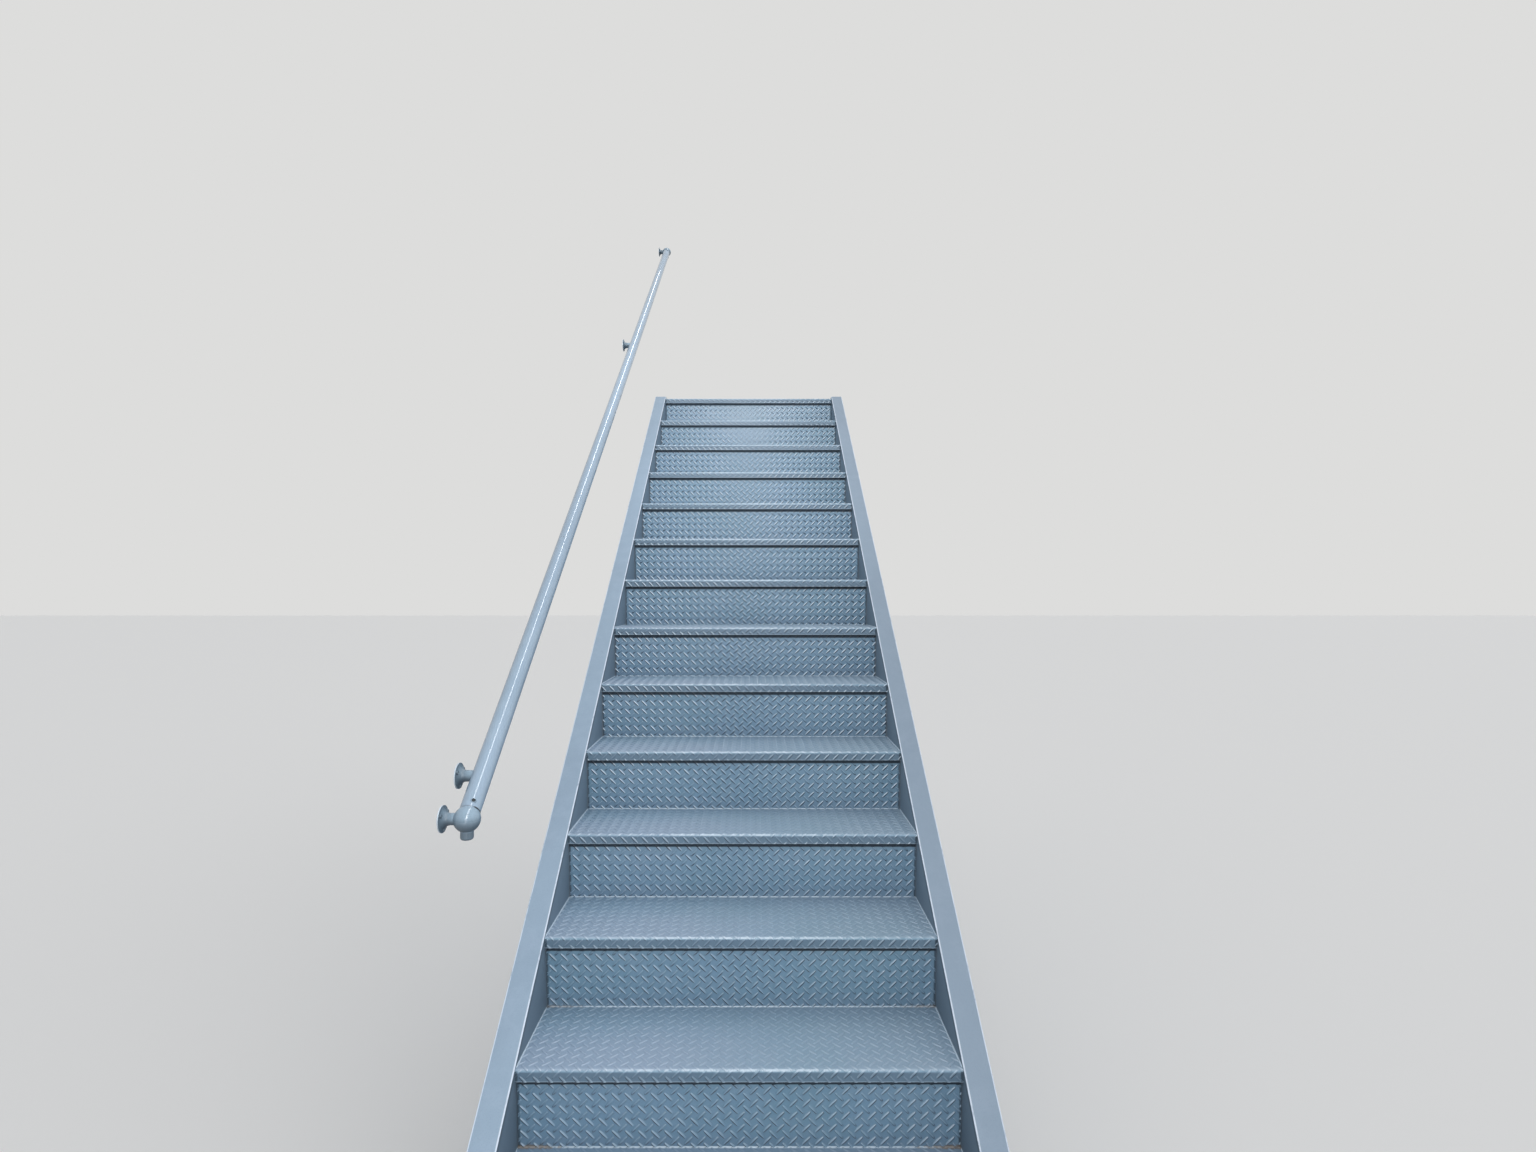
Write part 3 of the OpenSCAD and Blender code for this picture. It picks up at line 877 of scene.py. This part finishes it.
# %% [markdown]
# On the upper side the steps have sealant, along both ends of each tread and at the foot of each
# riser, because water would creep into open joints. Below they have stitch welds: at the top and the
# foot of each riser, and along both legs of the angles that carry the treads. The first riser
# stands on the ground, so its foot has neither.

# %% Beads and welds of the steps
X, Y, Z = Vector((1, 0, 0)), Vector((0, 1, 0)), Vector((0, 0, 1))
END_BEAD, FOOT_BEAD = 2.6 * MM, 2.8 * MM
# How many stitches a joint has, and how long each is
RISER_STITCHES, LEG_STITCHES = (5, 50 * MM), (3, 40 * MM)
foot_beads, end_beads, hidden_welds = bmesh.new(), bmesh.new(), bmesh.new()
foot_beads.verts.layers.float.new("lift")
end_beads.verts.layers.float.new("lift")
carrier_low, carrier_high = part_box("right_carriers")
CARRIER_LEG = carrier_high.x - carrier_low.x
CARRIER_START = carrier_low.y - FIRST_NOSE
CARRIER_END = carrier_high.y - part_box("tread_%02d" % (STEPS - 1))[0].y
for number in range(1, STEPS + 1):
    low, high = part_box("tread_%02d" % number)
    top, under = high.z, high.z - PLATE
    for side in (-1, 1):
        edge = side * HALF_WIDTH
        bead(end_beads, (edge, low.y + BEND, top), (edge, high.y, top), -side * X, Z, END_BEAD)
    inner = low.y + RISER_TOP + PLATE
    stitches(hidden_welds, (-RISER_HALF, inner, under), (RISER_HALF, inner, under), Y, -Z, *RISER_STITCHES)
    if number == STEPS:
        continue
    bead(foot_beads, (-RISER_HALF, high.y, top), (RISER_HALF, high.y, top), -Y, Z, FOOT_BEAD)
    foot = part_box("riser_%02d" % (number + 1))[0].y
    stitches(hidden_welds, (-RISER_HALF, foot, under), (RISER_HALF, foot, under), -Y, -Z, *RISER_STITCHES)
    for side in (-1, 1):
        edge, leg = side * HALF_WIDTH, side * (HALF_WIDTH - CARRIER_LEG)
        first, last = low.y + CARRIER_START, low.y + CARRIER_END
        for x, z in ((edge, under - CARRIER_LEG), (leg, under)):
            stitches(hidden_welds, (x, first, z), (x, last, z), -side * X, -Z, *LEG_STITCHES)
count = make_piece("beads_riser_feet", foot_beads, "painted_plate")
count += make_piece("beads_tread_ends", end_beads, "painted_plate")
count += make_piece("welds_below_treads", hidden_welds, "painted_bracket")
print("beads and welds of the steps:", count, "triangles")

# %% [markdown]
# At the foot each channel is welded to its base plate, on its outer side, and at the landing to the
# end plate. Where a foot starts and ends is read off its lowest points.

# %% Welds of the channels
FOOT_WELD, FOOT_RIPPLE = 5 * MM, 0.2
# What stays free at the ends of a weld, at the edges of a flange, and where web and lower flange meet
END_FREE, EDGE_FREE, MEETING_FREE = 4 * MM, 3 * MM, 24 * MM
foot_welds = bmesh.new()
hanger_low, hanger_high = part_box("hanger_plate")
for name, side in (("left", -1), ("right", 1)):
    base_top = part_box(name + "_base_plate")[1].z
    channel = frame["nodes"][name + "_stringer"]
    feet = [channel.matrix_world @ v.co for v in channel.data.vertices]
    feet = [p for p in feet if abs(p.z - base_top) < 0.1 * MM]
    front, back = min(p.y for p in feet), max(p.y for p in feet)
    web = min(abs(p.x) for p in feet if abs(p.x) > HALF_WIDTH + 2 * MM and p.y < front + 1 * MM)
    start = (side * web, front + END_FREE, base_top)
    end = (side * web, back - MEETING_FREE, base_top)
    bead(foot_welds, start, end, side * X, Z, FOOT_WELD, FOOT_RIPPLE)
    start = (side * (HALF_WIDTH + EDGE_FREE), back, base_top)
    end = (side * (FLANGE_EDGE - EDGE_FREE), back, base_top)
    bead(foot_welds, start, end, Y, Z, FOOT_WELD, FOOT_RIPPLE)
    start = (side * HALF_WIDTH, hanger_low.y, hanger_low.z + END_FREE)
    end = (side * HALF_WIDTH, hanger_low.y, hanger_high.z - END_FREE)
    bead(foot_welds, start, end, -side * X, -Y, FOOT_WELD, FOOT_RIPPLE)
print("welds of the channels:", make_piece("welds_stringer_ends", foot_welds, "painted_bracket"), "triangles")


# %% [markdown]
# ## Bolts, anchors and screws
# All are turned shapes: rings with a radius and a height, swept round an axis. Hexagons come from
# the same sweep, with the radius following six flats, so that a nut gets its rounded chamfer where
# a cone cuts its corners. Blender's own cylinders lack these edges, which catch the light. The
# places come from the bolt patterns in the frame's record.

# %% Turned shapes
SIDES = 36
# Half the width of a screw's cross, how far it reaches from the middle, and its depth, in mm
CROSS_HALF, CROSS_REACH, CROSS_DEEP = 0.75, 2.4, 1.3


def turned(shape, place, axis, profile, crossed=False):
    """Sweeps rings of (radius, height, flats), in mm, round an axis. flats is 1 for a hexagon's sides."""
    one = axis.orthogonal().normalized()
    other = axis.cross(one)
    rings = []
    for radius, height, flats in profile:
        ring = []
        for k in range(SIDES):
            turn = 2 * math.pi * k / SIDES
            reach = radius / math.cos((turn + math.pi / 6) % (math.pi / 3) - math.pi / 6) if flats else radius
            u, v = reach * math.cos(turn), reach * math.sin(turn)
            pressed = crossed and radius < CROSS_REACH and min(abs(u), abs(v)) < CROSS_HALF
            level = height - CROSS_DEEP * pressed
            ring.append(shape.verts.new(place + (one * u + other * v + axis * level) * MM))
        rings.append(ring)
    skin(shape, rings)


# %% Bolts
# M16, in mm. Where a shank has no thread it is drawn thinner, so that it stays off the wall of its hole
BOLT_R, SHANK_R, HEX_FLAT = 8, 7.9, 12
NUT_TOP, HEAD_TOP, BOLT_END = 16, 13, 27
WASHER = [(15, -0.2, 0), (15, 2.6, 0), (14.5, 3, 0), (8.6, 3, 0)]


def hexagon(top):
    """A washer and on it a head or nut, 24 mm over the flats, with chamfered corners."""
    return WASHER + [(HEX_FLAT, 3, 0), (HEX_FLAT, 3.4, 1), (HEX_FLAT, top - 1.6, 1),
                     (HEX_FLAT - 0.1, top - 0.1, 0), (HEX_FLAT - 1.2, top, 0)]


def thread(low, high):
    """A few turns of coarse thread: 2 mm pitch, 1.1 mm deep."""
    turns = int((high - low) / 2)
    return [(BOLT_R - (k % 2) * 1.1, low + k, 0) for k in range(2 * turns)] + [(6.6, high, 0)]


anchors = bmesh.new()
for name in ("left_anchors", "right_anchors"):
    middle = Vector(MOUNTS[name]["pos_m"])
    spacing = MOUNTS[name]["dims"]["spacing_y_mm"] * MM
    for k in (-0.5, 0.5):
        spot = middle + Y * spacing * k + Z * base_top
        turned(anchors, spot, Z, hexagon(NUT_TOP))
        turned(anchors, spot, Z, [(BOLT_R, 8, 0)] + thread(NUT_TOP - 0.5, BOLT_END))
        turned(anchors, spot, Z, [(SHANK_R, 0.5 - base_top / MM, 0), (SHANK_R, 2, 0)])
heads = bmesh.new()
middle = Vector(MOUNTS["landing_bolts"]["pos_m"])
dims = MOUNTS["landing_bolts"]["dims"]
thick = hanger_high.y - hanger_low.y
aside, upwards = X * dims["spacing_x_mm"] * MM, Z * dims["spacing_y_mm"] * MM
for kx in (-0.5, 0.5):
    for kz in (-0.5, 0.5):
        spot = middle + aside * kx + upwards * kz - Y * thick
        turned(heads, spot, -Y, hexagon(HEAD_TOP))
        turned(heads, spot, Y, [(SHANK_R, -2, 0), (SHANK_R, thick / MM - 0.5, 0)])
count = make_piece("anchor_bolts", anchors, "painted_bracket")
count += make_piece("landing_bolts", heads, "painted_bracket")
print("bolts:", count, "triangles")

# %% [markdown]
# The small screws are drawn too, because their crosses and their sockets, which get painted
# shadow, catch the eye on a plain tube: three in each wall plate, and a set screw through each end
# of the pipe, which holds it on the spigot of its ball.

# %% Screws of the rail
SPOT_FACE = 4 * MM  # height of a screw's seat above the back of the wall plate
SET_AT = 31 * MM  # from the middle of the ball, as the pilot holes of the solids
SET_TURN = math.radians(24)
# The low, domed pan head of a 5 mm screw, and a set screw with its hexagon socket, both in mm
PAN_HEAD = [(4.4, -0.3, 0), (4.4, 0.9, 0), (4.1, 1.5, 0), (3.3, 2.0, 0),
            (2.6, 2.2, 0), (2.0, 2.3, 0), (1.0, 2.35, 0)]
SET_SCREW = [(6.0, -1.2, 0), (5.6, 0.5, 0), (4.9, 0.8, 0), (4.2, 0.6, 0),
             (4.0, 0.3, 0), (2.6, 0.3, 1), (2.5, 0.1, 1)]
SOCKET_R = 4.1 * MM

screws = bmesh.new()
for name in ("lower_end_screws", "lower_bracket_screws", "upper_bracket_screws", "upper_end_screws"):
    middle, dims = Vector(MOUNTS[name]["pos_m"]), MOUNTS[name]["dims"]
    for k in range(dims["count"]):
        turn = 2 * math.pi * k / dims["count"]
        away = (Y * math.sin(turn) - Z * math.cos(turn)) * dims["pcd_mm"] * MM / 2
        turned(screws, middle + away + X * SPOT_FACE, X, PAN_HEAD, True)
count = make_piece("rosette_screws", screws, "painted_casting")

OUTWARD = (OVER * math.cos(SET_TURN) + X * math.sin(SET_TURN)).normalized()
set_screws = bmesh.new()
lift = set_screws.verts.layers.float.new("lift")
for ball, way in ((LOW_BALL, 1), (HIGH_BALL, -1)):
    spot = ball + CLIMB * SET_AT * way + OUTWARD * PIPE_R
    turned(set_screws, spot, OUTWARD, SET_SCREW)
    # The socket gets lift -3, which its finish paints dark as painted shadow
    for v in set_screws.verts:
        if (v.co - spot).cross(OUTWARD).length < SOCKET_R:
            v[lift] = -3
count += make_piece("set_screws", set_screws, "painted_casting")
print("screws:", count, "triangles")


# %% [markdown]
# ## Floor and light
# A plain pale floor lies under a soft, plain sky. The sky is a world colour that only depends on
# the direction, brightest in a strip that runs along the flight. A photographed sky would light the
# stair too, but this one can be set where it matters. The camera sees a plain pale backdrop
# instead, through Light Path, and so do reflections.

# %% Floor
FLOOR_HALF = 60  # metres, so that its edge is never seen
corners = [(x * FLOOR_HALF, y * FLOOR_HALF, 0) for x, y in ((-1, -1), (1, -1), (1, 1), (-1, 1))]
floor_mesh = bpy.data.meshes.new("floor")
floor_mesh.from_pydata(corners, [], [(0, 1, 2, 3)])
floor = bpy.data.objects.new("floor", floor_mesh)
bpy.context.collection.objects.link(floor)
floor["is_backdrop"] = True
floor_paint = bpy.data.materials.new("pale_floor")
floor_paint.use_nodes = True
floor_shader = floor_paint.node_tree.nodes["Principled BSDF"]
floor_shader.inputs["Base Color"].default_value = linear("#eaeae8")
floor_shader.inputs["Roughness"].default_value = 0.9
floor_mesh.materials.append(floor_paint)
print("floor:", 2 * FLOOR_HALF, "m wide")

# %% Sky
# Levels: all round, and what is added overhead, in front (darker there), on the right and in the strip
AMBIENT, OVERHEAD, FRONT, RIGHT, STRIP = 0.40, 0.10, -0.22, 0.75, 1.1
world = bpy.data.worlds.new("world")
bpy.context.scene.world = world
world.use_nodes = True
sky = world.node_tree
sky.nodes.clear()
x, y, z = add(sky, "SeparateXYZ", (add(sky, "TexCoord", out="Generated"),), None)
across = add(sky, "Math", (x,), **UNSIGNED)
strip = add(sky, "Math", (add(sky, "MapRange", (across, 0.30, 0.12), **FADE),
                          add(sky, "MapRange", (z, 0.05, 0.40), **FADE)), **TIMES)
level = AMBIENT
for share, amount in ((add(sky, "MapRange", (z, -0.1, 0.9), **FADE), OVERHEAD),
                      (add(sky, "MapRange", (y, 0.1, -0.9), **FADE), FRONT),
                      (add(sky, "MapRange", (x, 0.3, 0.85), **FADE), RIGHT),
                      (strip, STRIP)):
    level = add(sky, "Math", (share, amount, level), **TIMES_PLUS)
light = add(sky, "Background", (linear("#fbfcff"), level))
plain = add(sky, "Background", (linear("#dddddc"), 1.0))
rays = add(sky, "LightPath", out=None)
seen = add(sky, "Math", (rays["Is Camera Ray"], rays["Is Glossy Ray"]), **LARGER)
seen = add(sky, "Math", (seen, rays["Is Transmission Ray"]), **LARGER)
add(sky, "OutputWorld", (add(sky, "MixShader", (seen, light, plain)),), None)
bpy.context.scene.view_settings.view_transform = "Standard"
print("sky:", len(sky.nodes), "nodes")

# %% [markdown]
# ## Lamps
# Long, narrow lamps run along the flight, about a metre above it. There they draw a bright line on
# one flank of each lug. The rail has a lamp of its own, narrower and closer, which draws one sharp
# line along the tube. Two broad lamps fill the shadows from the front and from above.
# Light linking gives each lamp the pieces that it lights, and keeps all of them off the floor, so
# that it stays even.

# %% Lamps
flight, rail, whole = [bpy.data.collections.new(name) for name in ("flight", "rail", "whole_stair")]
rail_paints = (MATERIALS["painted_pipe"], MATERIALS["painted_casting"])
for thing in bpy.context.scene.objects:
    if thing.type == "MESH" and thing != floor:
        whole.objects.link(thing)
        (rail if thing.data.materials[0] in rail_paints else flight).objects.link(thing)
half_way = Vector((0, FIRST_NOSE + RUN * (STEPS - 1) / 2, RISE * (STEPS + 1) / 2))
left_side, below_rail = half_way - X * 0.48, half_way - X * 0.46
# Name, place, aim, size across and along in metres, spread in degrees, watts and what it lights
for name, place, aim, size, spread, watts, lit in (
        ("middle_strip", half_way + OVER * 1.15, half_way, (0.16, 6.0), 180, 17, flight),
        ("left_strip", left_side + OVER * 0.90, left_side, (0.045, 5.0), 180, 3.2, flight),
        ("rail_strip", below_rail + OVER * 0.90, below_rail, (0.035, 6.6), 180, 9, rail),
        ("front_fill", (0, -1.75, 2.0), (0, 0.4, 0.6), (0.7, 0.5), 180, 10, whole),
        ("upper_fill", (0, -0.7, 3.3), (0, 3.2, 2.5), (0.9, 0.9), 60, 6, whole)):
    lamp = bpy.data.lights.new(name, "AREA")
    lamp.shape = "RECTANGLE"
    lamp.size, lamp.size_y = size
    lamp.energy = watts
    lamp.spread = math.radians(spread)
    lamp_object = bpy.data.objects.new(name, lamp)
    bpy.context.collection.objects.link(lamp_object)
    back = (Vector(place) - Vector(aim)).normalized()
    turn = Matrix((X, back.cross(X), back)).transposed().to_4x4()
    lamp_object.matrix_world = Matrix.Translation(place) @ turn
    lamp_object.visible_camera = False
    lamp_object.light_linking.receiver_collection = lit

# %% [markdown]
# ## The size and the end
# The box of the whole dressed stair is printed.

# %% Size and the end
low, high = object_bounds()
print("visual box:", [round(v, 3) for v in (*low, *high)])
